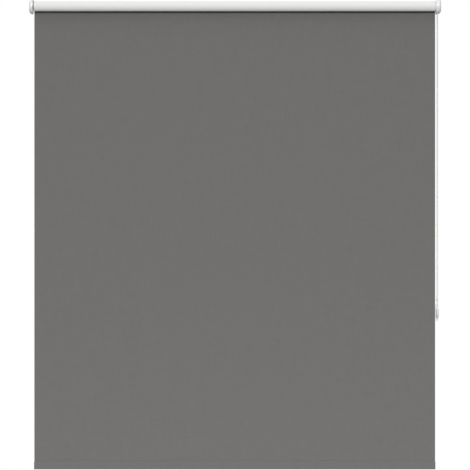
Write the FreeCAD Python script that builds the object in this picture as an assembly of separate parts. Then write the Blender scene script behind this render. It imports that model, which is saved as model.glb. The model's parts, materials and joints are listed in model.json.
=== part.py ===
"""Roller blind, lowered: chain-driven tube on two wall brackets, back-rolled blackout fabric,
welded hem with a flat bar, and an endless bead chain held down by a wall-fixed tensioner.

Frame, in millimetres: the origin is on the wall, at the centre of the four wall screw holes and
at the height of the tube's axis. +X is to the viewer's right, +Y into the wall, +Z up.
"""
import FreeCAD, Part
import math
import os

V = FreeCAD.Vector

# ---------------------------------------------------------------- driving dimensions
HALF_WIDTH = 775.0          # outer face of either bracket cover
COVER_R = 28.0              # front of a cover is a half round of this radius
COVER_WALL = 1.6
COVER_EDGE_R = 10.0         # rounded outer edge of a cover
COVER_L_IN = 760.5          # open inner side of the left cover, as |x|
COVER_R_IN = 755.7          # open inner side of the right cover
RIB_X = (765.5, 770.5)      # grip ribs inside a cover, as |x|
RIB_Y = (-12.0, -8.0)
RIB_HALF_W = 2.0
SLOT_HALF_W = 3.4           # chain slot in the right cover

AXIS_Y = -32.0              # tube axis in front of the wall, at z = 0
TUBE_R = 19.0
TUBE_WALL = 1.2
TUBE_X = (-754.0, 752.0)
KEY_W = 3.0                 # keys inside the tube
KEY_H = 1.5
FLANGE_T = 3.2              # visible rims of the two end plugs
FLANGE_EDGE_R = 1.2
FIN_ANGLES = (0, 45, 135, 180, 225, 315, 79.5, 100.5, 259.5, 280.5)  # the last four hold the keys

FABRIC_X = (-757.0, 755.0)
FABRIC_T = 0.45
TAPE_T = 0.2
WRAP_ANGLES = (1.5, 60.0)   # degrees from the rear of the tube, upwards
TAPE_ANGLES = (25.0, 60.0)
TAPE_INSET = 4.0            # tape stops short of the fabric's side edges
BODY_GAP = 0.3              # between pieces that move apart

HEM_TOP = -1716.0           # weld line
HEM_BOTTOM = -1746.0
HEM_HALF_T = 2.6
WELD_H = 1.2
HEM_SHOULDER = 6.8          # full thickness starts this far below the weld line
BAR_T = 3.0
BAR_H = 22.0
BAR_EDGE_R = 0.5
BAR_LIFT = 1.4              # bar above the hem's lowest line
BAR_X = (-751.0, 749.0)
CAP_PLATE = 1.0
CAP_MARGIN = 0.6
CAP_TONGUE = 4.6
LIFT = 1680.0               # hem travel, lowered to raised

PLATE_R = 23.5              # bracket side plate
PLATE_X = (769.0, 771.0)    # as |x|
BRACKET_T = 2.0
WALL_FLANGE_IN = 760.8      # inner edge of the wall flange, as |x|
SCREW_X = 765.0             # wall screw holes, as |x|
SCREW_Z = 15.0
SCREW_R = 2.25
GUSSET_Y = -16.0            # front of the flange's end gussets
FIT = 0.1                   # clearance of a pressed or keyed fit

BEAD_D = 4.5
BEAD_PITCH = 6.0
POCKETS = 14
CHAIN_BEADS = 399
CHAIN_X = 762.0
PITCH_R = POCKETS * BEAD_PITCH / (2 * math.pi)
PULLEY_Z = -(CHAIN_BEADS * BEAD_PITCH - 2 * math.pi * PITCH_R) / 2

# The loop's route: from the top of the sprocket down the front run, round the pulley and up the
# rear run. Each corner's arc is a quarter of the wheel that the chain lies on.
CHAIN_ROUTE = [
    (CHAIN_X, AXIS_Y, PITCH_R),
    (CHAIN_X, AXIS_Y - PITCH_R, PITCH_R),
    (CHAIN_X, AXIS_Y - PITCH_R, PULLEY_Z - PITCH_R),
    (CHAIN_X, AXIS_Y + PITCH_R, PULLEY_Z - PITCH_R),
    (CHAIN_X, AXIS_Y + PITCH_R, PITCH_R),
    (CHAIN_X, AXIS_Y, PITCH_R),
]

GROOVE_R = 10.8             # bottom of the chain groove, sprocket and pulley
GROOVE_HALF_W = 2.6
RIM_CHAMFER = 0.6
POCKET_R = 3.2
SPROCKET_X = (757.3, 766.7)
SPROCKET_R = 16.2
JOURNAL_R = 9.0
DRUM_R = 8.5
RUN_FIT = 0.06              # radial running clearance
SLEEVE_R = (10.3, 12.3)
SLEEVE_X = (716.0, 751.0)   # slotted length; it is whole from there to the wheel
SLEEVE_ARC = 262.0          # degrees of sleeve beside the springs
CROWN_X = 704.0
CROWN_BORE = 12.8
CROWN_HUB_R = 14.6
CROWN_WALL_X = 712.0
CROWN_KEY_END = 750.0
CROWN_KEY_ARC = 64.0
PLUG_R = 17.6
FIN_W = 2.4

SPRING_WIRE = 1.0
SPRING_TURNS = 6
SPRING_PITCH = 1.12
SPRING_FIRST_X = 717.5
SPRING_STEP = 8.2
SPRINGS = 4
TANG_L = 3.2

GUARD_X = (755.7, 756.9)
GUARD_R = 26.1
GUARD_BACK = -0.8           # clear of the wall
HOOD_R = (17.2, 18.6)
HOOD_DROP = 17.0
GUARD_SCREW_CIRCLE = 21.4
GUARD_SCREW_ANGLES = (45.0, 135.0)
GUARD_BOSS_R = 3.2
GUARD_SCREW_R = 1.08
GUARD_HEAD_R = 2.0
GUARD_HEAD_T = 1.6
CORE_BASE_X = (767.1, 769.0)
CORE_BASE_R = 20.0
KEY_BOSS = 13.0             # square boss in the right bracket
KEY_BOSS_END = 772.4
DRUM_X = (703.6, 756.9)
CORE_SCREW_R = 1.88
CORE_SCREW_L = 12.0
CORE_HEAD_R = 4.0
CORE_HEAD_T = 2.2
WASHER_R = (2.2, 12.0)
WASHER_T = 1.6
SCREW_SLOT_T = 0.8          # depth of a screwdriver slot

PIN_R = 3.0
PIN_X = (-772.3, -708.0)
PIN_CHAMFER = 0.8
PIN_SPRING_R = 4.4
PIN_SPRING_WIRE = 1.0
PIN_SPRING_TURNS = 8
CHAMBER_R = 6.2
CHAMBER_X = (-745.0, -716.0)
PLUG_HUB_R = 9.6
CLIP_X = (-744.6, -743.7)
CLIP_R = 5.2
CLIP_GROOVE = 0.5           # depth of the pin's groove
CLIP_MOUTH = 3.8
PLUG_CAP_X = (-718.5, -716.0)
BUSH_R = 6.0
BUSH_FLANGE_R = 9.0
BUSH_X = (-772.2, -767.8)

TENS_X = (757.0, 767.0)
TENS_CHEEK = 1.1
TENS_R = (17.2, 18.6)
TENS_TOP = 17.0             # hood's top edge above the pulley's centre
TENS_PLATE_T = 2.5
TENS_PLATE_HALF_H = 32.5
TENS_SCREW_DZ = 27.0
TENS_SCREW_R = 1.75
TENS_AXLE_R = 2.0
PULLEY_R = 15.8
PULLEY_GAP = 0.35           # between the pulley and either cheek

CONNECTOR_R = (2.6, 3.3)
CONNECTOR_L = 11.0
CONNECTOR_REST = 50.0       # centre above the pulley's centre
CONNECTOR_SLIT = 0.6

SHEET_Y = (AXIS_Y + TUBE_R + TAPE_T, AXIS_Y + TUBE_R + TAPE_T + FABRIC_T)
SHEET_MID = sum(SHEET_Y) / 2
OVER = 1.0                  # a cutting tool reaches this far past what it cuts
EPS = 0.01


# ---------------------------------------------------------------- small helpers
def span(x0, x1):
    return (min(x0, x1), max(x0, x1))


def disc(x, r, y=AXIS_Y, z=0.0):
    """A cylinder along X between the two ends in x."""
    lo, hi = span(*x)
    return Part.makeCylinder(r, hi - lo, V(lo, y, z), V(1, 0, 0))


def past(x):
    """The range widened at both ends, for a cut that goes right through."""
    lo, hi = span(*x)
    return (lo - OVER, hi + OVER)


def ring(x, r_in, r_out):
    return disc(x, r_out).cut(disc(past(x), r_in))


def box(x, y, z):
    lo = [min(a) for a in (x, y, z)]
    hi = [max(a) for a in (x, y, z)]
    return Part.makeBox(hi[0] - lo[0], hi[1] - lo[1], hi[2] - lo[2], V(*lo))


def turned(shape, degrees):
    """The shape turned about the tube's axis."""
    copy = shape.copy()
    copy.rotate(V(0, AXIS_Y, 0), V(1, 0, 0), degrees)
    return copy


def fuse_all(shapes):
    whole = shapes[0]
    for piece in shapes[1:]:
        whole = whole.fuse(piece)
    return whole.removeSplitter()


def sector(x, r_in, r_out, a0, a1):
    """A segment of a ring about the tube's axis; angles in degrees from +Y towards +Z."""
    lo, hi = span(*x)

    def at(r, a):
        return V(lo, AXIS_Y + r * math.cos(math.radians(a)), r * math.sin(math.radians(a)))

    mid = (a0 + a1) / 2
    edges = [
        Part.Arc(at(r_out, a0), at(r_out, mid), at(r_out, a1)).toShape(),
        Part.LineSegment(at(r_out, a1), at(r_in, a1)).toShape(),
        Part.Arc(at(r_in, a1), at(r_in, mid), at(r_in, a0)).toShape(),
        Part.LineSegment(at(r_in, a0), at(r_out, a0)).toShape(),
    ]
    return Part.Face(Part.Wire(edges)).extrude(V(hi - lo, 0, 0))


def d_block(x, r, back=0.0):
    """Half-round front of radius r about the tube axis, running straight back to y = back."""
    lo, hi = span(*x)
    top_back, top = V(lo, back, r), V(lo, AXIS_Y, r)
    low_back, low = V(lo, back, -r), V(lo, AXIS_Y, -r)
    edges = [
        Part.LineSegment(top_back, top).toShape(),
        Part.Arc(top, V(lo, AXIS_Y - r, 0), low).toShape(),
        Part.LineSegment(low, low_back).toShape(),
        Part.LineSegment(low_back, top_back).toShape(),
    ]
    return Part.Face(Part.Wire(edges)).extrude(V(hi - lo, 0, 0))


def face_edges(shape, x, skip_back=None):
    """Edges that lie in the plane at x, leaving out those at y = skip_back."""
    found = []
    for edge in shape.Edges:
        b = edge.BoundBox
        in_plane = abs(b.XMin - x) < EPS and abs(b.XMax - x) < EPS
        at_back = skip_back is not None and b.YMin > skip_back - EPS
        if in_plane and not at_back:
            found.append(edge)
    return found


def export(name, shape):
    solids = shape.Solids
    assert solids and all(s.isValid() and s.Volume > 0 for s in solids), name
    whole = solids[0] if len(solids) == 1 else Part.makeCompound(solids)
    whole.exportStep("parts/%s.step" % name)
    print("%-22s solids %d  volume %.1f mm3" % (name, len(solids), whole.Volume))


# ---------------------------------------------------------------- brackets and covers
def bracket(side):
    """Side plate with a wall flange turned inwards and a small gusset at each end of it."""
    plate = d_block((side * PLATE_X[0], side * PLATE_X[1]), PLATE_R)
    flange_x = (side * WALL_FLANGE_IN, side * PLATE_X[1])
    flange = box(flange_x, (-BRACKET_T, 0), (-PLATE_R, PLATE_R))
    body = plate.fuse(flange)
    for z in (PLATE_R - BRACKET_T, -PLATE_R):
        body = body.fuse(box(flange_x, (GUSSET_Y, 0), (z, z + BRACKET_T)))
    for z in (SCREW_Z, -SCREW_Z):
        start = V(side * SCREW_X, -BRACKET_T - OVER, z)
        body = body.cut(Part.makeCylinder(SCREW_R, BRACKET_T + 2 * OVER, start, V(0, 1, 0)))
    return body.removeSplitter()


def bracket_left():
    return bracket(-1).cut(disc(past((-PLATE_X[0], -PLATE_X[1])), BUSH_R + FIT / 2))


def bracket_right():
    half = KEY_BOSS / 2 + FIT
    hole = box(past(PLATE_X), (AXIS_Y - half, AXIS_Y + half), (-half, half))
    return bracket(1).cut(hole)


def cover(side, inner):
    """Thin shell, open towards the wall and the roller, with ribs that grip the side plate."""
    outer_face = side * HALF_WIDTH
    block = d_block((side * inner, outer_face), COVER_R)
    block = block.makeFillet(COVER_EDGE_R, face_edges(block, outer_face, skip_back=0.0))
    inside_face = side * (HALF_WIDTH - COVER_WALL)
    hollow = d_block((side * (inner - OVER), inside_face), COVER_R - COVER_WALL, back=OVER)
    hollow = hollow.makeFillet(COVER_EDGE_R - COVER_WALL, face_edges(hollow, inside_face, skip_back=OVER))
    rib_x = (side * RIB_X[0], side * RIB_X[1])
    rib_low, rib_high = PLATE_R + FIT, COVER_R - COVER_WALL / 2
    shell = block.cut(hollow)
    for sign in (1, -1):
        rib = box(rib_x, RIB_Y, (sign * rib_low, sign * rib_high))
        shell = shell.fuse(rib.common(block))
    front_rib = box(rib_x, (AXIS_Y - rib_high, AXIS_Y - rib_low), (-RIB_HALF_W, RIB_HALF_W))
    return shell.fuse(front_rib.common(block)).removeSplitter()


def cover_right():
    """The right cover has a slot in its underside for the chain."""
    slot_x = (CHAIN_X - SLOT_HALF_W, CHAIN_X + SLOT_HALF_W)
    slot_half = PITCH_R + SLOT_HALF_W
    slot = box(slot_x, (AXIS_Y - slot_half, AXIS_Y + slot_half), (-COVER_R - OVER, -COVER_R / 2))
    return cover(1, COVER_R_IN).cut(slot)


# ---------------------------------------------------------------- roller
def roller_tube():
    r_in = TUBE_R - TUBE_WALL
    tube = ring(TUBE_X, r_in, TUBE_R)
    key = box(TUBE_X, (AXIS_Y - KEY_W / 2, AXIS_Y + KEY_W / 2), (r_in - KEY_H, r_in + TUBE_WALL / 2))
    return fuse_all([tube, key, turned(key, 180)])


def fins(x, r_in):
    """Fins that centre a plug in the tube; pairs at top and bottom hold the tube's keys."""
    fin = box(x, (AXIS_Y + r_in - OVER, AXIS_Y + PLUG_R), (-FIN_W / 2, FIN_W / 2))
    return [turned(fin, a) for a in FIN_ANGLES]


def rim(x_in, x_out):
    """Visible flange of an end plug with a rounded outer edge."""
    flange = disc((x_in, x_out), TUBE_R)
    return flange.makeFillet(FLANGE_EDGE_R, face_edges(flange, x_out))


def idle_plug():
    x_in = TUBE_X[0]
    body = fuse_all([rim(x_in, x_in - FLANGE_T), disc((x_in, CHAMBER_X[1]), PLUG_HUB_R)]
                    + fins((x_in, CHAMBER_X[1]), PLUG_HUB_R))
    body = body.cut(disc((x_in - FLANGE_T - OVER, CHAMBER_X[0] + OVER), PIN_R + RUN_FIT))
    return body.cut(disc((CHAMBER_X[0], CHAMBER_X[1] + OVER), CHAMBER_R))


def idle_plug_cap():
    return ring(PLUG_CAP_X, PIN_R + BODY_GAP, CHAMBER_R - FIT / 2)


def idle_pin():
    pin = disc(PIN_X, PIN_R)
    pin = pin.makeChamfer(PIN_CHAMFER, face_edges(pin, PIN_X[0]))
    return pin.cut(ring(CLIP_X, PIN_R - CLIP_GROOVE, PIN_R + OVER))


def idle_pin_clip():
    """Spring clip in the pin's groove, open downwards."""
    clip = ring((CLIP_X[0] + FIT / 2, CLIP_X[1] - FIT / 2), PIN_R - CLIP_GROOVE + FIT / 2, CLIP_R)
    mouth_y = (AXIS_Y - CLIP_MOUTH / 2, AXIS_Y + CLIP_MOUTH / 2)
    return clip.cut(box(past(CLIP_X), mouth_y, (-CLIP_R - OVER, 0)))


def coil(x0, radius, wire, pitch, turns):
    """A helical spring about the tube axis, starting at x0 and growing towards +X."""
    helix = Part.makeHelix(pitch, pitch * turns, radius)
    helix.rotate(V(0, 0, 0), V(0, 1, 0), 90)
    helix.translate(V(x0, AXIS_Y, 0))
    start = helix.Edges[0]
    point, along = start.valueAt(start.FirstParameter), start.tangentAt(start.FirstParameter)
    profile = Part.Wire(Part.makeCircle(wire / 2, point, along))
    return Part.Wire(helix.Edges).makePipeShell([profile], True, True)


def idle_pin_spring():
    """Pushes the pin out, between the clip and the plug's cap."""
    lo = CLIP_X[1] + PIN_SPRING_WIRE / 2 + FIT
    hi = PLUG_CAP_X[0] - PIN_SPRING_WIRE / 2 - FIT
    return coil(lo, PIN_SPRING_R, PIN_SPRING_WIRE, (hi - lo) / PIN_SPRING_TURNS, PIN_SPRING_TURNS)


def idle_bush():
    body = disc(BUSH_X, BUSH_R).fuse(disc((-PLATE_X[0], BUSH_X[1]), BUSH_FLANGE_R))
    return body.cut(disc(past(BUSH_X), PIN_R + RUN_FIT)).removeSplitter()


# ---------------------------------------------------------------- clutch
def drive_crown():
    """Turns the tube. Its key sits in the gap of the sprocket's sleeve, between spring tangs."""
    x_in = TUBE_X[1]
    body = fuse_all([rim(x_in, x_in + FLANGE_T), disc((CROWN_X, x_in), CROWN_HUB_R)]
                    + fins((CROWN_X, x_in), CROWN_HUB_R))
    body = body.cut(disc((CROWN_WALL_X, x_in + FLANGE_T + OVER), CROWN_BORE))
    body = body.cut(disc((CROWN_X - OVER, CROWN_WALL_X + OVER), DRUM_R + RUN_FIT))
    half = CROWN_KEY_ARC / 2
    key_x = (CROWN_WALL_X - OVER, CROWN_KEY_END)
    key = sector(key_x, SLEEVE_R[0], (CROWN_BORE + CROWN_HUB_R) / 2, 90 - half, 90 + half)
    return body.fuse(key).removeSplitter()


def groove_wheel(x, rim_r):
    """Grooved wheel: two rims and a hub whose surface lies clear under the chain."""
    lo, hi = CHAIN_X - GROOVE_HALF_W, CHAIN_X + GROOVE_HALF_W
    rims = [disc((x[0], lo), rim_r), disc((hi, x[1]), rim_r)]
    rims[0] = rims[0].makeChamfer(RIM_CHAMFER, face_edges(rims[0], lo))
    rims[1] = rims[1].makeChamfer(RIM_CHAMFER, face_edges(rims[1], hi))
    return fuse_all([disc(x, GROOVE_R)] + rims)


def chain_sprocket():
    wheel = groove_wheel(SPROCKET_X, SPROCKET_R)
    for i in range(POCKETS):
        a = 2 * math.pi * (i + 0.5) / POCKETS
        centre = V(CHAIN_X, AXIS_Y + PITCH_R * math.cos(a), PITCH_R * math.sin(a))
        wheel = wheel.cut(Part.makeSphere(POCKET_R, centre))
    wheel = wheel.fuse(ring((SLEEVE_X[1], SPROCKET_X[0] + OVER), *SLEEVE_R))
    half = SLEEVE_ARC / 2
    slotted = sector((SLEEVE_X[0], SLEEVE_X[1] + OVER), *SLEEVE_R, 270 - half, 270 + half)
    bore = disc((SLEEVE_X[1] - OVER, SPROCKET_X[1] + OVER), JOURNAL_R + RUN_FIT)
    return wheel.fuse(slotted).cut(bore).removeSplitter()


def wrap_spring(i):
    """Brake spring on the core, with a tang at each end beside the sleeve's gap."""
    radius = DRUM_R + SPRING_WIRE / 2 + FIT
    x0 = SPRING_FIRST_X + i * SPRING_STEP
    body = coil(x0, radius, SPRING_WIRE, SPRING_PITCH, SPRING_TURNS)
    gap_edge = 90 - (360 - SLEEVE_ARC) / 2
    tang_half = math.degrees(SPRING_WIRE / 2 / SLEEVE_R[0])
    clear = math.degrees(BODY_GAP / SLEEVE_R[0])
    ends = ((x0, gap_edge + clear + tang_half),
            (x0 + SPRING_PITCH * SPRING_TURNS, 180 - gap_edge - clear - tang_half))
    for x, angle in ends:
        tang = Part.makeCylinder(SPRING_WIRE / 2, TANG_L, V(x, AXIS_Y + radius, 0), V(0, 1, 0))
        body = body.fuse(turned(tang, angle))
    return body


def clutch_core():
    """Fixed spindle: keyed base, journal for the sprocket, drum for the springs."""
    half = KEY_BOSS / 2
    parts = [
        disc(CORE_BASE_X, CORE_BASE_R),
        box((CORE_BASE_X[0], KEY_BOSS_END), (AXIS_Y - half, AXIS_Y + half), (-half, half)),
        disc((DRUM_X[1], CORE_BASE_X[0]), JOURNAL_R),
        disc(DRUM_X, DRUM_R),
    ]
    for a in GUARD_SCREW_ANGLES:
        parts.append(disc(CORE_BASE_X, GUARD_BOSS_R, *screw_centre(a)))
    body = fuse_all(parts)
    for a in GUARD_SCREW_ANGLES:
        body = body.cut(disc(past(CORE_BASE_X), GUARD_SCREW_R + EPS, *screw_centre(a)))
    return body.cut(disc((DRUM_X[0] - OVER, DRUM_X[0] + CORE_SCREW_L + OVER), CORE_SCREW_R + EPS))


def screw_centre(angle):
    a = math.radians(angle)
    return AXIS_Y + GUARD_SCREW_CIRCLE * math.cos(a), GUARD_SCREW_CIRCLE * math.sin(a)


def chain_guard():
    """Closing plate, hood over the sprocket open downwards, and two screw bosses."""
    hood_x = (GUARD_X[0], CORE_BASE_X[0])
    parts = [d_block(GUARD_X, GUARD_R, back=GUARD_BACK), sector(hood_x, *HOOD_R, 0, 180)]
    for sign in (1, -1):
        wall_y = (AXIS_Y + sign * HOOD_R[0], AXIS_Y + sign * HOOD_R[1])
        parts.append(box(hood_x, wall_y, (-HOOD_DROP, 0)))
    for a in GUARD_SCREW_ANGLES:
        parts.append(disc(hood_x, GUARD_BOSS_R, *screw_centre(a)))
    body = fuse_all(parts)
    body = body.cut(disc(past(GUARD_X), CROWN_BORE))
    for a in GUARD_SCREW_ANGLES:
        body = body.cut(disc(past(hood_x), GUARD_SCREW_R + EPS, *screw_centre(a)))
        head_x = (GUARD_X[0] - OVER, GUARD_X[0] + GUARD_HEAD_T)
        body = body.cut(disc(head_x, GUARD_HEAD_R + FIT, *screw_centre(a)))
    return body


def guard_screws():
    """Two slotted screws, from the guard's face into the core's base."""
    screws = []
    for a in GUARD_SCREW_ANGLES:
        y, z = screw_centre(a)
        head = disc((GUARD_X[0] + FIT, GUARD_X[0] + GUARD_HEAD_T), GUARD_HEAD_R, y, z)
        shank = disc((GUARD_X[0] + SCREW_SLOT_T, CORE_BASE_X[1] - BODY_GAP), GUARD_SCREW_R, y, z)
        slot_x = (GUARD_X[0], GUARD_X[0] + SCREW_SLOT_T)
        slot = box(slot_x, (y - GUARD_HEAD_R, y + GUARD_HEAD_R), (z - 0.3, z + 0.3))
        screws.append(head.fuse(shank).cut(slot).removeSplitter())
    return Part.makeCompound(screws)


def core_washer():
    return ring((DRUM_X[0] - WASHER_T, DRUM_X[0]), *WASHER_R)


def core_screw():
    """Domed, slotted screw that holds the washer on the core."""
    head_x = (DRUM_X[0] - WASHER_T - CORE_HEAD_T, DRUM_X[0] - WASHER_T)
    head = disc(head_x, CORE_HEAD_R)
    head = head.makeFillet(CORE_HEAD_T / 2, face_edges(head, head_x[0]))
    slot_x = (head_x[0] - OVER, head_x[0] + SCREW_SLOT_T)
    slot = box(slot_x, (AXIS_Y - CORE_HEAD_R, AXIS_Y + CORE_HEAD_R), (-0.5, 0.5))
    shank = disc((head_x[1] - OVER, DRUM_X[0] + CORE_SCREW_L), CORE_SCREW_R)
    return head.cut(slot).fuse(shank).removeSplitter()


# ---------------------------------------------------------------- fabric and hem
def fabric_sheet():
    """The hanging cloth, from the rear of the tube to just above the weld."""
    return box(FABRIC_X, SHEET_Y, (-BODY_GAP, HEM_TOP + BODY_GAP))


def fabric_wrap():
    return sector(FABRIC_X, TUBE_R + TAPE_T, TUBE_R + TAPE_T + FABRIC_T, *WRAP_ANGLES)


def fabric_tape():
    x = (TUBE_X[0] + TAPE_INSET, TUBE_X[1] - TAPE_INSET)
    return sector(x, TUBE_R, TUBE_R + TAPE_T, *TAPE_ANGLES)


def pocket_section(x, half_t, top, bottom, top_half):
    """Section of the hem: narrow at the weld, full round the bar, half round at the bottom."""
    shoulder = HEM_TOP - HEM_SHOULDER
    low = bottom + half_t

    def at(dy, z):
        return V(x, SHEET_MID + dy, z)

    edges = [
        Part.LineSegment(at(-top_half, top), at(-half_t, shoulder)).toShape(),
        Part.LineSegment(at(-half_t, shoulder), at(-half_t, low)).toShape(),
        Part.Arc(at(-half_t, low), at(0, bottom), at(half_t, low)).toShape(),
        Part.LineSegment(at(half_t, low), at(half_t, shoulder)).toShape(),
        Part.LineSegment(at(half_t, shoulder), at(top_half, top)).toShape(),
        Part.LineSegment(at(top_half, top), at(-top_half, top)).toShape(),
    ]
    return Part.Face(Part.Wire(edges))


def hem_pocket():
    length = FABRIC_X[1] - FABRIC_X[0]
    outer = pocket_section(FABRIC_X[0], HEM_HALF_T, HEM_TOP, HEM_BOTTOM, FABRIC_T)
    inner = pocket_section(FABRIC_X[0] - OVER, HEM_HALF_T - FABRIC_T, HEM_TOP - WELD_H,
                           HEM_BOTTOM + FABRIC_T, FABRIC_T / 4)
    return outer.extrude(V(length, 0, 0)).cut(inner.extrude(V(length + 2 * OVER, 0, 0)))


def hem_bar():
    low = HEM_BOTTOM + BAR_LIFT
    bar = box(BAR_X, (SHEET_MID - BAR_T / 2, SHEET_MID + BAR_T / 2), (low, low + BAR_H))
    long_edges = [e for e in bar.Edges if e.BoundBox.XLength > BAR_H]
    return bar.makeFillet(BAR_EDGE_R, long_edges)


def hem_cap(x_edge, side):
    """End plate a little larger than the hem, with a tongue in the pocket."""
    half_t = HEM_HALF_T + CAP_MARGIN
    z = (HEM_BOTTOM - CAP_MARGIN, HEM_TOP - WELD_H)
    plate = box((x_edge, x_edge + side * CAP_PLATE), (SHEET_MID - half_t, SHEET_MID + half_t), z)
    corner = [e for e in plate.Edges if e.BoundBox.XLength > CAP_PLATE / 2]
    plate = plate.makeFillet(half_t * 0.9, corner)
    tongue_half = BAR_T / 2 - FIT
    bar_low = HEM_BOTTOM + BAR_LIFT
    tongue = box((x_edge + side * CAP_PLATE / 2, x_edge - side * CAP_TONGUE),
                 (SHEET_MID - tongue_half, SHEET_MID + tongue_half),
                 (bar_low + CAP_MARGIN, bar_low + BAR_H - CAP_MARGIN))
    return plate.fuse(tongue).removeSplitter()


# ---------------------------------------------------------------- chain and tensioner
def bead_chain():
    """Plain tube along the route: straight runs joined by arcs of the wheels' size."""
    points = [V(*p) for p in CHAIN_ROUTE]
    r = BEAD_D / 2
    arcs, runs = [], []
    length = 0.0
    for before, corner, after in zip(points, points[1:], points[2:] + points[1:2]):
        into = (corner - before).normalize()
        away = (after - corner).normalize()
        arc_start = corner - into * PITCH_R
        arc_end = corner + away * PITCH_R
        if into.getAngle(away) > EPS:
            section = Part.Face(Part.Wire(Part.makeCircle(r, arc_start, into)))
            arcs.append(section.revolve(arc_start + away * PITCH_R, into.cross(away), 90))
            length += math.pi / 2 * PITCH_R
        straight = (after - arc_end).Length - PITCH_R
        if straight > EPS:
            runs.append(Part.makeCylinder(r, straight, arc_end, away))
            length += straight
    loop = fuse_all(runs + arcs)
    expected = math.pi * r * r * length
    print("chain: arc radii %.2f mm, loop length %.1f mm, volume %.1f of %.1f mm3"
          % (PITCH_R, length, loop.Volume, expected))
    assert abs(loop.Volume / expected - 1) < 0.01
    return loop


def chain_connector():
    """Split clasp round two beads of the rear run."""
    r_in, r_out = CONNECTOR_R
    base = V(CHAIN_X, AXIS_Y + PITCH_R, PULLEY_Z + CONNECTOR_REST - CONNECTOR_L / 2)
    clasp = Part.makeCylinder(r_out, CONNECTOR_L, base)
    clasp = clasp.makeFillet((r_out - r_in) / 2, [e for e in clasp.Edges if e.BoundBox.ZLength < EPS])
    through = CONNECTOR_L + 2 * OVER
    clasp = clasp.cut(Part.makeCylinder(r_in, through, base - V(0, 0, OVER)))
    slit = Part.makeBox(r_out, CONNECTOR_SLIT, through, base - V(0, CONNECTOR_SLIT / 2, OVER))
    return clasp.cut(slit)


def tensioner_body():
    """Wall plate with two screw holes, carrying a two-cheeked hood round the pulley."""
    z0 = PULLEY_Z

    def outline(x, r, back):
        lo, hi = span(*x)
        top = z0 + TENS_TOP
        points = [V(lo, back, top), V(lo, AXIS_Y - r, top), V(lo, AXIS_Y - r, z0)]
        edges = [Part.LineSegment(points[0], points[1]).toShape(),
                 Part.LineSegment(points[1], points[2]).toShape(),
                 Part.Arc(points[2], V(lo, AXIS_Y, z0 - r), V(lo, AXIS_Y + r, z0)).toShape(),
                 Part.LineSegment(V(lo, AXIS_Y + r, z0), V(lo, back, z0 - r * 0.4)).toShape(),
                 Part.LineSegment(V(lo, back, z0 - r * 0.4), points[0]).toShape()]
        return Part.Face(Part.Wire(edges)).extrude(V(hi - lo, 0, 0))

    outer = outline(TENS_X, TENS_R[1], -TENS_PLATE_T / 2)
    inner_x = (TENS_X[0] + TENS_CHEEK, TENS_X[1] - TENS_CHEEK)
    cavity = fuse_all([
        disc(inner_x, TENS_R[0], AXIS_Y, z0),
        box(inner_x, (AXIS_Y - TENS_R[0], AXIS_Y + TENS_R[0]), (z0, z0 + TENS_TOP + OVER)),
    ])
    plate_z = (z0 - TENS_PLATE_HALF_H, z0 + TENS_PLATE_HALF_H)
    plate = box(TENS_X, (-TENS_PLATE_T, 0), plate_z)
    body = outer.cut(cavity).fuse(plate)
    for sign in (1, -1):
        hole_at = V(CHAIN_X, -TENS_PLATE_T - OVER, z0 + sign * TENS_SCREW_DZ)
        body = body.cut(Part.makeCylinder(TENS_SCREW_R, TENS_PLATE_T + 2 * OVER, hole_at, V(0, 1, 0)))
    body = body.cut(disc(past(TENS_X), TENS_AXLE_R + 2 * EPS, AXIS_Y, z0))
    return body.removeSplitter()


def tensioner_axle():
    return disc((TENS_X[0] + FIT, TENS_X[1] - FIT), TENS_AXLE_R, AXIS_Y, PULLEY_Z)


def tensioner_pulley():
    inset = TENS_CHEEK + PULLEY_GAP
    wheel = groove_wheel((TENS_X[0] + inset, TENS_X[1] - inset), PULLEY_R)
    wheel = wheel.cut(disc(TENS_X, TENS_AXLE_R + RUN_FIT))
    wheel.translate(V(0, 0, PULLEY_Z))
    return wheel


def winding():
    """Turns and mean winding radius for the full lift, from the tube's and fabric's sizes."""
    first = TUBE_R + TAPE_T + FABRIC_T / 2
    a, b = math.pi * FABRIC_T, 2 * math.pi * first
    turns = (-b + math.sqrt(b * b + 4 * a * LIFT)) / (2 * a)
    print("winding: %.4f turns, %.1f degrees, mean radius %.4f mm, full roll radius %.2f mm, "
          "chain travel %.1f mm" % (turns, 360 * turns, LIFT / (2 * math.pi * turns),
                                    TUBE_R + TAPE_T + FABRIC_T * (turns + 1),
                                    turns * POCKETS * BEAD_PITCH))


os.makedirs("parts", exist_ok=True)
winding()
print("pitch radius %.4f mm, pulley centre z %.3f mm" % (PITCH_R, PULLEY_Z))
print("chain route, mm:", [tuple(round(c, 2) for c in p) for p in CHAIN_ROUTE])

export("bracket_left", bracket_left())
export("bracket_right", bracket_right())
export("bracket_cover_left", cover(-1, COVER_L_IN))
export("bracket_cover_right", cover_right())
export("roller_tube", roller_tube())
export("idle_plug", idle_plug())
export("idle_plug_cap", idle_plug_cap())
export("idle_pin", idle_pin())
export("idle_pin_clip", idle_pin_clip())
export("idle_pin_spring", idle_pin_spring())
export("idle_bush", idle_bush())
export("drive_crown", drive_crown())
export("chain_sprocket", chain_sprocket())
for number in range(SPRINGS):
    export("wrap_spring_%d" % (number + 1), wrap_spring(number))
export("clutch_core", clutch_core())
export("chain_guard", chain_guard())
export("guard_screws", guard_screws())
export("core_washer", core_washer())
export("core_screw", core_screw())
export("fabric_sheet", fabric_sheet())
export("fabric_wrap", fabric_wrap())
export("fabric_tape", fabric_tape())
export("hem_pocket", hem_pocket())
export("hem_bar", hem_bar())
export("hem_cap_left", hem_cap(FABRIC_X[0], -1))
export("hem_cap_right", hem_cap(FABRIC_X[1], 1))
export("bead_chain", bead_chain())
export("chain_connector", chain_connector())
export("tensioner_body", tensioner_body())
export("tensioner_axle", tensioner_axle())
export("tensioner_pulley", tensioner_pulley())
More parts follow.
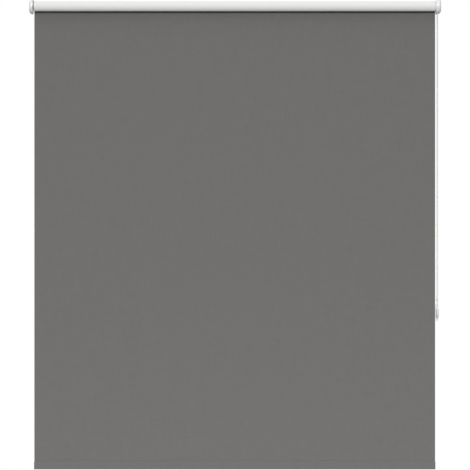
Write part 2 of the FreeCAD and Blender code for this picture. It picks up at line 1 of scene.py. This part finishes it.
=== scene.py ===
"""Looks of a lowered roller blind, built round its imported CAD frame. Everything is in metres."""

import json
import math

import bpy
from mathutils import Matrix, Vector


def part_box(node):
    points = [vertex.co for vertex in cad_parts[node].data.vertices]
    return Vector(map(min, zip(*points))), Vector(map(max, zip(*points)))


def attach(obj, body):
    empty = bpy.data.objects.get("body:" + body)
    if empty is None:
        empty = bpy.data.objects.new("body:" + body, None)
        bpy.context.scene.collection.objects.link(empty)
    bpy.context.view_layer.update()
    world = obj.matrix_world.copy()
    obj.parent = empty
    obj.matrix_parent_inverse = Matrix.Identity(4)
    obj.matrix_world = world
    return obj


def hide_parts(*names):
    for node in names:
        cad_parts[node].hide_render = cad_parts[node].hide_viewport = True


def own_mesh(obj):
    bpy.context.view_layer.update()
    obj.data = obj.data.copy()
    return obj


MM = 0.001

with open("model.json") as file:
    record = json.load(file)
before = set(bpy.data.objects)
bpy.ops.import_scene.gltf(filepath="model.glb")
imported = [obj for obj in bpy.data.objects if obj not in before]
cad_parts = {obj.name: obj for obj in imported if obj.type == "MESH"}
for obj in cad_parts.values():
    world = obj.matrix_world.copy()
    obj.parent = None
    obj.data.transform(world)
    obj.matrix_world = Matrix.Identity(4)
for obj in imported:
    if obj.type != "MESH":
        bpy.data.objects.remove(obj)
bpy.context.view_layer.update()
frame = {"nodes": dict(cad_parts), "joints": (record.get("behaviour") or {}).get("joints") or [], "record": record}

# ---------------------------------------------------------------- sizes, from the frame
sheet_low, sheet_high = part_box("fabric_sheet")
tube_low, tube_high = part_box("roller_tube")
hem_low, hem_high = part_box("hem_pocket")

AXIS_Y = (tube_low.y + tube_high.y) / 2
TUBE_R = (tube_high.z - tube_low.z) / 2
FABRIC_X = (sheet_low.x, sheet_high.x)
FABRIC_T = sheet_high.y - sheet_low.y
SHEET_Y = (sheet_low.y, sheet_high.y)
SHEET_MID = (sheet_low.y + sheet_high.y) / 2
WELD_Z = hem_high.z
HEM_HALF_T = (hem_high.y - hem_low.y) / 2
JOINTS = {joint["name"]: joint for joint in frame["joints"]}
SPIN = math.radians(JOINTS["tube_spin"]["range_deg"][1])
ROLL_R = SHEET_Y[0] - AXIS_Y + FABRIC_T * (SPIN / (2 * math.pi) + 1)


# ---------------------------------------------------------------- camera, lights and floor
def look_at(obj, target):
    obj.rotation_euler = (Vector(target) - obj.location).to_track_quat("-Z", "Y").to_euler()


def add_camera():
    """Square on, long lens, level with the middle of the blind."""
    distance, view_width, middle_z = 10.0, 1.770, -0.8617
    data = bpy.data.cameras.new("camera")
    data.sensor_width = 36.0
    data.lens = data.sensor_width * (distance + AXIS_Y) / view_width
    data.clip_end = 100.0
    camera = bpy.data.objects.new("camera", data)
    camera.location = (0.0, -distance, middle_z)
    bpy.context.scene.collection.objects.link(camera)
    look_at(camera, (0.0, 0.0, middle_z))
    bpy.context.scene.camera = camera


def add_sun(name, strength, elevation, spread, side):
    """Light from the front, elevation degrees up and side degrees to the right."""
    data = bpy.data.lights.new(name, "SUN")
    data.energy = strength
    data.angle = math.radians(spread)
    sun = bpy.data.objects.new(name, data)
    bpy.context.scene.collection.objects.link(sun)
    up, turn, away = math.radians(elevation), math.radians(side), 3.0
    level = away * math.cos(up)
    sun.location = (level * math.sin(turn), -level * math.cos(turn), away * math.sin(up))
    look_at(sun, (0, 0, 0))


def add_lights():
    """A low, fairly hard light and a high, soft one in front, a low one behind, and a pale room
    that is white to the camera and dimmer as a fill, most of all from below."""
    add_sun("key", 1.66, elevation=15.6, spread=3, side=-4)
    add_sun("softbox", 0.50, elevation=55, spread=45, side=6)
    add_sun("rear", 1.10, elevation=14, spread=40, side=205)

    horizon, fill_below, fill_above = 0.7, 0.17, 0.49
    world = bpy.data.worlds.new("room")
    bpy.context.scene.world = world
    world.use_nodes = True
    tree = world.node_tree
    tree.nodes.clear()
    out = tree.nodes.new("ShaderNodeOutputWorld")
    mix = tree.nodes.new("ShaderNodeMixShader")
    seen = tree.nodes.new("ShaderNodeBackground")
    fill = tree.nodes.new("ShaderNodeBackground")
    path = tree.nodes.new("ShaderNodeLightPath")
    place = tree.nodes.new("ShaderNodeTexCoord")
    split = tree.nodes.new("ShaderNodeSeparateXYZ")
    fade = tree.nodes.new("ShaderNodeMapRange")
    fade.inputs["From Min"].default_value = -horizon
    fade.inputs["From Max"].default_value = horizon
    fade.inputs["To Min"].default_value = fill_below
    fade.inputs["To Max"].default_value = fill_above
    tree.links.new(place.outputs["Generated"], split.inputs[0])
    tree.links.new(split.outputs["Z"], fade.inputs["Value"])
    tree.links.new(fade.outputs[0], fill.inputs["Strength"])
    seen.inputs["Strength"].default_value = 1.0
    for node in (seen, fill):
        node.inputs["Color"].default_value = (1, 1, 1, 1)
    tree.links.new(path.outputs["Is Camera Ray"], mix.inputs[0])
    tree.links.new(fill.outputs[0], mix.inputs[1])
    tree.links.new(seen.outputs[0], mix.inputs[2])
    tree.links.new(mix.outputs[0], out.inputs["Surface"])
    bpy.context.scene.view_settings.view_transform = "Standard"


def add_floor():
    """A pale round floor some way below the hem, mostly in front of the wall."""
    radius, thickness, gap, middle_y = 1.7, 0.02, 0.75, -0.5
    bpy.ops.mesh.primitive_cylinder_add(
        vertices=128, radius=radius, depth=thickness,
        location=(0, middle_y, hem_low.z - gap - thickness / 2))
    floor = bpy.context.object
    floor.name = "floor"
    floor.data.materials.append(moulded("floor_paint", (0.86, 0.86, 0.85), 0.7, grain=0.05))


# ---------------------------------------------------------------- materials
class Graph:
    """A Principled material whose nodes are added in short lines."""

    def __init__(self, name, color, roughness, metallic=0.0):
        self.material = bpy.data.materials.new(name)
        self.material.use_nodes = True
        self.tree = self.material.node_tree
        self.tree.nodes.clear()
        out = self.tree.nodes.new("ShaderNodeOutputMaterial")
        self.shader = self.tree.nodes.new("ShaderNodeBsdfPrincipled")
        self.tree.links.new(self.shader.outputs[0], out.inputs[0])
        self.shader.inputs["Base Color"].default_value = (*color, 1)
        self.shader.inputs["Roughness"].default_value = roughness
        self.shader.inputs["Metallic"].default_value = metallic
        self.place = self.tree.nodes.new("ShaderNodeTexCoord").outputs["Object"]

    def put(self, socket, value):
        """Link the socket to another socket, or give it a plain value."""
        if isinstance(value, bpy.types.NodeSocket):
            self.tree.links.new(value, socket)
        else:
            socket.default_value = value

    def stretched(self, scale):
        """The object's own coordinates, scaled unevenly."""
        node = self.tree.nodes.new("ShaderNodeMapping")
        self.put(node.inputs["Vector"], self.place)
        node.inputs["Scale"].default_value = scale
        return node.outputs[0]

    def noise(self, scale, stretch=(1, 1, 1), detail=3.0):
        node = self.tree.nodes.new("ShaderNodeTexNoise")
        self.put(node.inputs["Vector"], self.stretched(stretch))
        node.inputs["Scale"].default_value = scale
        node.inputs["Detail"].default_value = detail
        return node.outputs["Fac"]

    def math(self, operation, a, b=0.0, c=0.0):
        node = self.tree.nodes.new("ShaderNodeMath")
        node.operation = operation
        for socket, value in zip(node.inputs, (a, b, c)):
            self.put(socket, value)
        return node.outputs[0]

    def about(self, noise, middle, swing):
        """middle plus or minus swing, driven by a noise that stays mostly near 0.5."""
        node = self.tree.nodes.new("ShaderNodeMapRange")
        self.put(node.inputs["Value"], noise)
        node.inputs["From Min"].default_value = 0.15
        node.inputs["From Max"].default_value = 0.85
        node.inputs["To Min"].default_value = middle - swing
        node.inputs["To Max"].default_value = middle + swing
        return node.outputs[0]

    def ramp(self, factor, stops):
        """A colour ramp through stops of (position, colour)."""
        node = self.tree.nodes.new("ShaderNodeValToRGB")
        self.put(node.inputs[0], factor)
        node.color_ramp.elements[0].position = stops[0][0]
        node.color_ramp.elements[0].color = (*stops[0][1], 1)
        node.color_ramp.elements[1].position = stops[-1][0]
        node.color_ramp.elements[1].color = (*stops[-1][1], 1)
        for position, color in stops[1:-1]:
            node.color_ramp.elements.new(position).color = (*color, 1)
        return node.outputs[0]

    def bump(self, height, depth, strength=1.0):
        node = self.tree.nodes.new("ShaderNodeBump")
        node.inputs["Strength"].default_value = strength
        node.inputs["Distance"].default_value = depth
        self.put(node.inputs["Height"], height)
        self.put(self.shader.inputs["Normal"], node.outputs[0])

    def color(self, value):
        self.put(self.shader.inputs["Base Color"], value)

    def roughness(self, value):
        self.put(self.shader.inputs["Roughness"], value)


def shade(color, factor):
    return tuple(min(1.0, c * factor) for c in color)


def moulded(name, color, roughness, grain=0.02, alpha=1.0):
    """Injection-moulded plastic: faint flow marks, fine spark texture, patchy gloss."""
    g = Graph(name, color, roughness)
    flow = g.noise(18, (1, 1, 3), 2)
    g.color(g.ramp(flow, [(0.1, shade(color, 0.97)), (0.9, shade(color, 1.02))]))
    g.roughness(g.about(g.noise(90), roughness, 0.05))
    g.bump(g.noise(2600, detail=2), grain * MM)
    g.shader.inputs["Alpha"].default_value = alpha
    return g.material


def enamel(name, color, roughness, along=(0.05, 1, 1)):
    """Stove enamel or powder coat: orange peel over faint lines along the metal."""
    g = Graph(name, color, roughness)
    lines = g.noise(420, along, 3)
    peel = g.noise(900, detail=1)
    g.color(g.ramp(lines, [(0.3, shade(color, 0.985)), (0.7, shade(color, 1.01))]))
    g.roughness(g.about(peel, roughness, 0.06))
    g.bump(g.math("ADD", peel, g.math("MULTIPLY", lines, 0.4)), 0.03 * MM)
    g.shader.inputs["Specular IOR Level"].default_value = 0.35
    g.shader.inputs["Diffuse Roughness"].default_value = 0.5
    return g.material


def steel(name, color, roughness, along=(0.04, 1, 1)):
    """Drawn or zinc-plated steel, with drawing lines and small dull patches."""
    g = Graph(name, color, roughness, metallic=1.0)
    lines = g.noise(1600, along, 4)
    dull = g.noise(160, detail=3)
    g.color(g.ramp(dull, [(0.3, shade(color, 0.82)), (0.65, color)]))
    g.roughness(g.about(g.math("ADD", g.math("MULTIPLY", lines, 0.6), g.math("MULTIPLY", dull, 0.4)),
                        roughness, 0.12))
    g.bump(lines, 0.01 * MM)
    return g.material


def weave(name, color, pitch=0.42 * MM, depth=0.07 * MM):
    """Plain weave of fine yarn: each yarn rounded, crossing over and under, a little uneven. Its colour has
    painted shade, darker in the hollows between yarns and lighter on their crowns.
    """
    roughness = 0.86
    g = Graph(name, color, roughness)
    split = g.tree.nodes.new("ShaderNodeSeparateXYZ")
    wander = g.noise(70, (1, 1, 1), 2)
    g.put(split.inputs[0], g.place)
    turn = math.pi / pitch
    drift = g.math("MULTIPLY", wander, 3.0)
    across = g.math("ADD", g.math("MULTIPLY", split.outputs["X"], turn), drift)
    down = g.math("ADD", g.math("MULTIPLY", split.outputs["Z"], turn), drift)
    warp = g.math("ABSOLUTE", g.math("SINE", across))
    weft = g.math("ABSOLUTE", g.math("SINE", down))
    cross = g.math("MULTIPLY", g.math("COSINE", across), g.math("COSINE", down))
    over = g.math("GREATER_THAN", cross, 0.0)
    under = g.math("SUBTRACT", 1.0, over)
    height = g.math("ADD", g.math("MULTIPLY", warp, over), g.math("MULTIPLY", weft, under))
    slub_x = g.noise(900, (1, 1, 0.03), 2)
    slub_z = g.noise(900, (0.03, 1, 1), 2)
    yarn = g.math("ADD", g.math("MULTIPLY", slub_x, over), g.math("MULTIPLY", slub_z, under))
    # Colour mixes the yarn's random slub with painted shade: the weave height is painted in, darker between the
    # yarns and lighter on their crowns.
    yarn_tone_and_painted_shade = g.math("ADD", g.math("MULTIPLY", yarn, 0.75), g.math("MULTIPLY", height, 0.25))
    g.color(g.ramp(yarn_tone_and_painted_shade, [(0.25, shade(color, 0.80)), (0.5, color), (0.8, shade(color, 1.16))]))
    g.roughness(g.about(yarn, roughness, 0.06))
    g.bump(height, depth, 0.7)
    g.shader.inputs["Sheen Weight"].default_value = 0.08
    g.shader.inputs["Sheen Roughness"].default_value = 0.5
    g.shader.inputs["Specular IOR Level"].default_value = 0.25
    return g.material


def coating(name, color):
    """Foamed blackout coating on the back of the cloth: smooth, with the weave grinning through."""
    roughness = 0.62
    g = Graph(name, color, roughness)
    print_through = g.noise(1500, (1, 1, 1), 2)
    g.color(g.ramp(g.noise(14, detail=4), [(0.3, shade(color, 0.96)), (0.7, shade(color, 1.03))]))
    g.roughness(g.about(g.noise(60), roughness, 0.05))
    g.bump(print_through, 0.03 * MM, 0.6)
    g.shader.inputs["Specular IOR Level"].default_value = 0.3
    return g.material


WHITE = (0.82, 0.82, 0.81)
GREY = (0.156, 0.153, 0.147)


def make_materials():
    return {
        "bracket_steel": enamel("bracket_enamel", (0.76, 0.76, 0.75), 0.42, along=(1, 1, 0.05)),
        "cover_plastic": moulded("cover_plastic", (0.84, 0.84, 0.835), 0.30, grain=0.012),
        "acetal": moulded("acetal", (0.84, 0.84, 0.82), 0.38, grain=0.01),
        "bright_steel": steel("zinc_steel", (0.60, 0.60, 0.61), 0.30),
        "blackout_fabric": weave("blackout_weave", GREY),
        "chain_plastic": moulded("chain_plastic", (0.86, 0.86, 0.85), 0.35, grain=0.004),
        "clear_plastic": moulded("clear_plastic", (0.92, 0.93, 0.93), 0.25, grain=0.006, alpha=0.42),
        "tube_paint": enamel("tube_enamel", WHITE, 0.55),
        "plug_plastic": moulded("plug_plastic", (0.80, 0.80, 0.79), 0.40, grain=0.015),
        "adhesive_tape": moulded("adhesive_tape", (0.70, 0.70, 0.66), 0.55, grain=0.02),
        "bar_steel": steel("galvanised_bar", (0.48, 0.49, 0.50), 0.42),
        "hem_plastic": moulded("hem_plastic", (0.120, 0.118, 0.115), 0.50, grain=0.02),
    }


def paint_nodes(materials):
    """Each CAD node gets the finish of its record slot."""
    slots = {row["node"]: row["material_slot"] for row in frame["record"]["subparts"]}
    for name, obj in frame["nodes"].items():
        obj.data.materials.clear()
        obj.data.materials.append(materials[slots[name]])


# ---------------------------------------------------------------- mesh helpers
def new_piece(name, points, faces, materials):
    mesh = bpy.data.meshes.new(name)
    mesh.from_pydata([tuple(p) for p in points], [], faces)
    mesh.validate()
    for material in materials:
        mesh.materials.append(material)
    mesh.polygons.foreach_set("use_smooth", [True] * len(mesh.polygons))
    obj = bpy.data.objects.new(name, mesh)
    bpy.context.scene.collection.objects.link(obj)
    return obj


def smooth_by_angle(obj, degrees):
    obj.data.set_sharp_from_angle(angle=math.radians(degrees))


def slab(name, front, back, columns, rows, materials):
    """A closed sheet between two grids of points, each listed row by row. The front and the rim get
    the first material, and the back gets the second."""
    count = columns * rows
    points = front + back
    faces, slots = [], []
    for r in range(rows - 1):
        for c in range(columns - 1):
            i = r * columns + c
            quad = [i, i + columns, i + columns + 1, i + 1]
            faces.append(quad)
            slots.append(0)
            faces.append([count + k for k in reversed(quad)])
            slots.append(1)
    border = ([c for c in range(columns)]
              + [r * columns + columns - 1 for r in range(1, rows)]
              + [(rows - 1) * columns + c for c in range(columns - 2, -1, -1)]
              + [r * columns for r in range(rows - 2, 0, -1)])
    for a, b in zip(border, border[1:] + border[:1]):
        faces.append([a, b, count + b, count + a])
        slots.append(0)
    obj = new_piece(name, points, faces, materials)
    obj.data.polygons.foreach_set("material_index", slots)
    smooth_by_angle(obj, 50)
    return obj


def even(start, end, count):
    return [start + (end - start) * i / (count - 1) for i in range(count)]


def smoothstep(t):
    t = max(0.0, min(1.0, t))
    return t * t * (3 - 2 * t)


# ---------------------------------------------------------------- fabric
def fabric_bow(x, z):
    """How far the hanging cloth stands off its plane: faint waves and a slight curl at the cut edges."""
    hold_top = smoothstep(-z / 0.10)
    hold_low = smoothstep((z - WELD_Z) / 0.08)
    waves_mm = (0.35 * math.sin(2.1 * x + 1.3 * z) * math.sin(5.3 * z + 0.7)
                + 0.18 * math.sin(6.7 * x - 3.1 * z + 2.0))
    edge = min(x - FABRIC_X[0], FABRIC_X[1] - x)
    curl_mm = 0.9 * math.exp(-edge / 0.012) * (0.75 + 0.25 * math.sin(4.2 * z + 3 * x))
    return -(waves_mm + curl_mm) * MM * hold_top * hold_low


def hanging_fabric(materials):
    """From the rear of the tube down into the hem. As the hem rises it shortens towards the place
    where it meets the full roll."""
    border, columns, rows = 0.03, 60, 110
    columns_in = even(FABRIC_X[0] + border, FABRIC_X[1] - border, columns)
    edge = [0.0, 0.003, 0.007, 0.012, 0.019]
    xs = ([FABRIC_X[0] + e for e in edge] + columns_in + [FABRIC_X[1] - e for e in reversed(edge)])
    tucked = 1.5 * MM
    low = WELD_Z - tucked
    zs = even(0.0, low, rows)
    front, back = [], []
    for z in zs:
        for x in xs:
            bow = fabric_bow(x, z)
            front.append((x, SHEET_Y[0] + bow, z))
            back.append((x, SHEET_Y[1] + bow, z))
    sheet = slab("fabric", front, back, len(xs), len(zs), materials)
    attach(sheet, "root")
    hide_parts("fabric_sheet")
    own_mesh(sheet)
    return sheet


def fabric_end(materials):
    """The end of the cloth stuck on the rear and top of the tube."""
    inner = SHEET_Y[0] - AXIS_Y
    stuck, steps, columns = math.radians(60), 14, 24
    angles = even(0.0, stuck, steps)
    xs = even(*FABRIC_X, columns)
    front = [(x, AXIS_Y + inner * math.cos(a), inner * math.sin(a)) for a in angles for x in xs]
    outer = inner + FABRIC_T
    back = [(x, AXIS_Y + outer * math.cos(a), outer * math.sin(a)) for a in angles for x in xs]
    wrap = slab("fabric_end", back, front, len(xs), len(angles), [materials[1], materials[0]])
    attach(wrap, "roller")
    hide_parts("fabric_wrap")
    return wrap


def wound_fabric(materials):
    """The wound-up cloth. Its sectors lie inside the bare tube, and each moves out to its place
    as the tube turns, so that the roll has its full radius when the blind is raised."""
    sectors, arc_steps, columns, reach = 12, 6, 12, 2.0
    core_r = TUBE_R + 0.05 * MM
    sunk_below_tube = 0.42 * MM
    sunk = ROLL_R - TUBE_R + sunk_below_tube
    share = sunk / reach
    half = math.pi / sectors
    for index in range(sectors):
        middle = 2 * math.pi * (index + 0.5) / sectors
        out = Vector((0, math.cos(middle), math.sin(middle)))
        across = Vector((0, -math.sin(middle), math.cos(middle)))
        axis = Vector((0, AXIS_Y, 0))

        def rest(radius, angle, x):
            """Where a point of the full roll lies before the sector has moved out."""
            radial = radius * math.cos(angle)
            radial = (radial - reach * share) / (1 - share)
            return Vector((x, 0, 0)) + axis + out * radial + across * radius * math.sin(angle)

        angles = even(-half, half, arc_steps)
        xs = even(*FABRIC_X, columns)
        skin = [rest(ROLL_R, a, x) for a in angles for x in xs]
        core = [rest(core_r, a, x) for a in angles for x in xs]
        piece = slab("wound_fabric_%02d" % (index + 1), skin, core, len(xs), arc_steps,
                     [materials[1], materials[0]])
        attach(piece, "roller")
        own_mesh(piece)


def hem_profile():
    """Half of the hem's outline, from the top of the pressed weld to its lowest point, as
    (half thickness, z). Also says how many of its points belong to the weld."""
    weld = [(0.62, 2.6), (0.98, 2.3), (0.98, 1.2), (0.60, 0.8), (0.58, -0.6), (1.0, -1.3)]
    half = [(y * MM, WELD_Z + z * MM) for y, z in weld]
    flare_y, flare_z = half[-1]
    flare_height = 6.8 * MM
    shoulder = WELD_Z - flare_height
    for t in even(0, 1, 8)[1:]:
        y = flare_y + (HEM_HALF_T - flare_y) * math.sin(t * math.pi / 2)
        half.append((y, flare_z + (shoulder - flare_z) * t))
    low = hem_low.z + HEM_HALF_T
    half += [(HEM_HALF_T, z) for z in even(shoulder, low, 5)[1:]]
    for t in even(0, 1, 6)[1:-1]:
        a = t * math.pi / 2
        half.append((HEM_HALF_T * math.cos(a), low - HEM_HALF_T * math.sin(a)))
    half.append((0.0, hem_low.z))
    return half, len(weld)


def hem(materials):
    """The welded pocket: a pressed seam above an open-ended sleeve that the flat bar fills out."""
    half, weld_count = hem_profile()
    outer = [(-y, z) for y, z in half] + [(y, z) for y, z in half[-2::-1]]
    shrink = 1 - FABRIC_T / HEM_HALF_T
    centre_z = hem_low.z + HEM_HALF_T
    inner = []
    for y, z in outer[weld_count:-weld_count]:
        below = min(z, centre_z)
        inner.append((y * shrink, z + (centre_z - below) * (1 - shrink)))
    n, m = len(outer), len(inner)
    sections = 48
    xs = even(*FABRIC_X, sections)
    points = []
    for x in xs:
        pull = 0.12 * MM * math.sin(9.0 * x + 0.6) + 0.08 * MM * math.sin(23.0 * x)
        for y, z in outer + inner:
            loose = smoothstep((WELD_Z - z) / (10 * MM)) * smoothstep((z - hem_low.z) / (8 * MM))
            points.append((x, SHEET_MID + y + pull * loose * y / HEM_HALF_T, z))
    ring = n + m
    faces = []
    for i in range(len(xs) - 1):
        first = i * ring
        for k in range(n):
            a, b = first + k, first + (k + 1) % n
            faces.append([a, b, b + ring, a + ring])
        for k in range(m):
            a, b = first + n + k, first + n + (k + 1) % m
            faces.append([b, a, a + ring, b + ring])
    rim = [list(range(weld_count + 1)) + [n, n + m - 1] + list(range(n - 1 - weld_count, n))]
    for k in range(m - 1):
        a, b = weld_count + k, n + k
        rim.append([a, a + 1, b + 1, b])
    last = (len(xs) - 1) * ring
    faces += [face[::-1] for face in rim]
    faces += [[last + k for k in face] for face in rim]
    piece = new_piece("hem_sleeve", points, faces, materials[:1])
    smooth_by_angle(piece, 40)
    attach(piece, "hem")
    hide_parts("hem_pocket")
    return piece


# ---------------------------------------------------------------- spring of the idle pin
def pin_spring(material):
    """Compression spring that shortens towards its fixed end as the pin is pushed in."""
    low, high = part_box("idle_pin_spring")
    wire_r, turns, per_turn, sides = 0.5 * MM, 8, 36, 10
    coil_r = (high.z - low.z) / 2 - wire_r
    start, end = low.x + wire_r, high.x - wire_r
    count = turns * per_turn + 1
    points, faces = [], []
    for x, angle in zip(even(start, end, count), even(0.0, turns * 2 * math.pi, count)):
        out = Vector((0, math.cos(angle), math.sin(angle)))
        centre = Vector((x, AXIS_Y, 0)) + out * coil_r
        for s in range(sides):
            b = 2 * math.pi * s / sides
            points.append(centre + (out * math.cos(b) + Vector((1, 0, 0)) * math.sin(b)) * wire_r)
    for n in range(count - 1):
        for s in range(sides):
            a, b = n * sides + s, n * sides + (s + 1) % sides
            faces.append([a, a + sides, b + sides, b])
    faces.append(list(range(sides)))
    faces.append([(count - 1) * sides + s for s in reversed(range(sides))])
    spring = new_piece("pin_spring", points, faces, [material])
    smooth_by_angle(spring, 60)
    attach(spring, "roller")
    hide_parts("idle_pin_spring")
    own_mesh(spring)


# ---------------------------------------------------------------- bead chain
# From the top of the sprocket down the front run, round the pulley and up the rear run.
CHAIN_ROUTE = [
    (0.762, -0.03200, 0.01337),
    (0.762, -0.04537, 0.01337),
    (0.762, -0.04537, -0.02700),
    (0.762, -0.04537, -1.12800),
    (0.762, -0.04537, -1.16837),
    (0.762, -0.01863, -1.16837),
    (0.762, -0.01863, -1.12800),
    (0.762, -0.01863, -0.02700),
    (0.762, -0.01863, 0.01337),
    (0.762, -0.03200, 0.01337),
]


def spline_points(route):
    """Points along the smooth line whose control points are the route's."""
    curve = bpy.data.curves.new("route", "CURVE")
    curve.dimensions = "3D"
    spline = curve.splines.new("NURBS")
    spline.points.add(len(route) - 1)
    for point, place in zip(spline.points, route):
        point.co = (*place, 1)
    spline.order_u = 3
    spline.use_endpoint_u = True
    spline.resolution_u = 64
    obj = bpy.data.objects.new("route", curve)
    bpy.context.scene.collection.objects.link(obj)
    mesh = bpy.data.meshes.new_from_object(obj)
    points = [v.co.copy() for v in mesh.vertices]
    bpy.data.objects.remove(obj)
    bpy.data.curves.remove(curve)
    bpy.data.meshes.remove(mesh)
    return points


def evenly_along(points, count):
    """count places spaced evenly along a line, with the line's direction at each."""
    lengths = [(b - a).length for a, b in zip(points, points[1:])]
    step = sum(lengths) / count
    places, done, i = [], 0.0, 0
    for n in range(count):
        target = (n + 0.5) * step
        while i < len(lengths) - 1 and done + lengths[i] < target:
            done += lengths[i]
            i += 1
        t = (target - done) / max(lengths[i], 1e-12)
        places.append((points[i].lerp(points[i + 1], t), (points[i + 1] - points[i]).normalized()))
    return places, sum(lengths)


def add_ball(points, faces, centre, along, radius, segments=12, rings=8):
    """A ball whose poles lie on the cord, slightly longer along it, as moulded beads are."""
    side = Vector((1, 0, 0))
    up = along.cross(side).normalized()
    first = len(points)
    stretch = 1.06
    points.append(centre - along * radius * stretch)
    for r in range(1, rings):
        a = math.pi * r / rings
        middle = centre - along * radius * stretch * math.cos(a)
        for s in range(segments):
            b = 2 * math.pi * s / segments
            points.append(middle + (side * math.cos(b) + up * math.sin(b)) * radius * math.sin(a))
    points.append(centre + along * radius * stretch)
    last = len(points) - 1
    ring0 = first + 1
    for s in range(segments):
        t = (s + 1) % segments
        faces.append([first, ring0 + t, ring0 + s])
        for r in range(rings - 2):
            low, high = ring0 + r * segments, ring0 + (r + 1) * segments
            faces.append([low + s, low + t, high + t, high + s])
        top = ring0 + (rings - 2) * segments
        faces.append([top + s, top + t, last])


def add_string(points, faces, places, radius, sides=6):
    """The cord through the beads, as a thin closed tube."""
    side = Vector((1, 0, 0))
    first = len(points)
    for place, along in places:
        up = along.cross(side).normalized()
        for s in range(sides):
            a = 2 * math.pi * s / sides
            points.append(place + (side * math.cos(a) + up * math.sin(a)) * radius)
    for n in range(len(places)):
        low = first + n * sides
        high = first + ((n + 1) % len(places)) * sides
        for s in range(sides):
            t = (s + 1) % sides
            faces.append([low + s, low + t, high + t, high + s])


def bead_chain(material):
    bead_d, string_d, beads = 4.5 * MM, 1.3 * MM, 399
    line = spline_points(CHAIN_ROUTE)
    places, length = evenly_along(line, beads)
    points, faces = [], []
    for centre, along in places:
        add_ball(points, faces, centre, along, bead_d / 2)
    add_string(points, faces, evenly_along(line, beads * 2)[0], string_d / 2)
    chain = new_piece("bead_chain_loop", points, faces, [material])
    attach(chain, "root")
    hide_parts("bead_chain")
    return chain


# ---------------------------------------------------------------- build
materials = make_materials()
paint_nodes(materials)
add_camera()
add_lights()
add_floor()

bead_chain(materials["chain_plastic"])
pin_spring(materials["bright_steel"])
cloth = [materials["blackout_fabric"], coating("blackout_coating", (0.165, 0.162, 0.157))]
sheet = hanging_fabric(cloth)
fabric_top = fabric_end(cloth)
wound_fabric(cloth)
hem_sleeve = hem(cloth)
